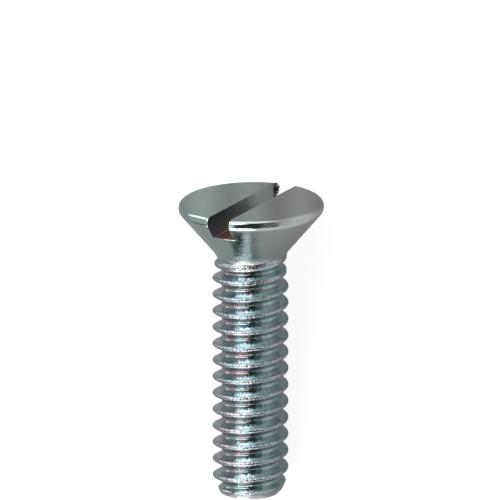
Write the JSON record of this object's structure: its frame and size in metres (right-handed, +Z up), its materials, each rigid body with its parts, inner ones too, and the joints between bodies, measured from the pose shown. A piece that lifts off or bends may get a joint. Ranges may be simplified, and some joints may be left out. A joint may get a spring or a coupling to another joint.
{
  "type": "flat head machine screw",
  "caption": "Slotted flat head machine screw with a countersunk head and a right-hand coarse thread along the shank, lying at rest.",
  "frame": {"origin": "on the surface that the screw lies on, below the middle of its bounding box", "axes": "+X along the lying screw towards its head, +Z up; the screw's own axis lies in the XZ plane and rises 7.11 degrees towards the head, and its slot is cut in that plane"},
  "size_m": [0.0192, 0.009, 0.0088],
  "materials": {
    "zinc_plate": "satin"
  },
  "bodies": {
    "root": {"screw": "zinc_plate"}
  },
  "joints": []
}
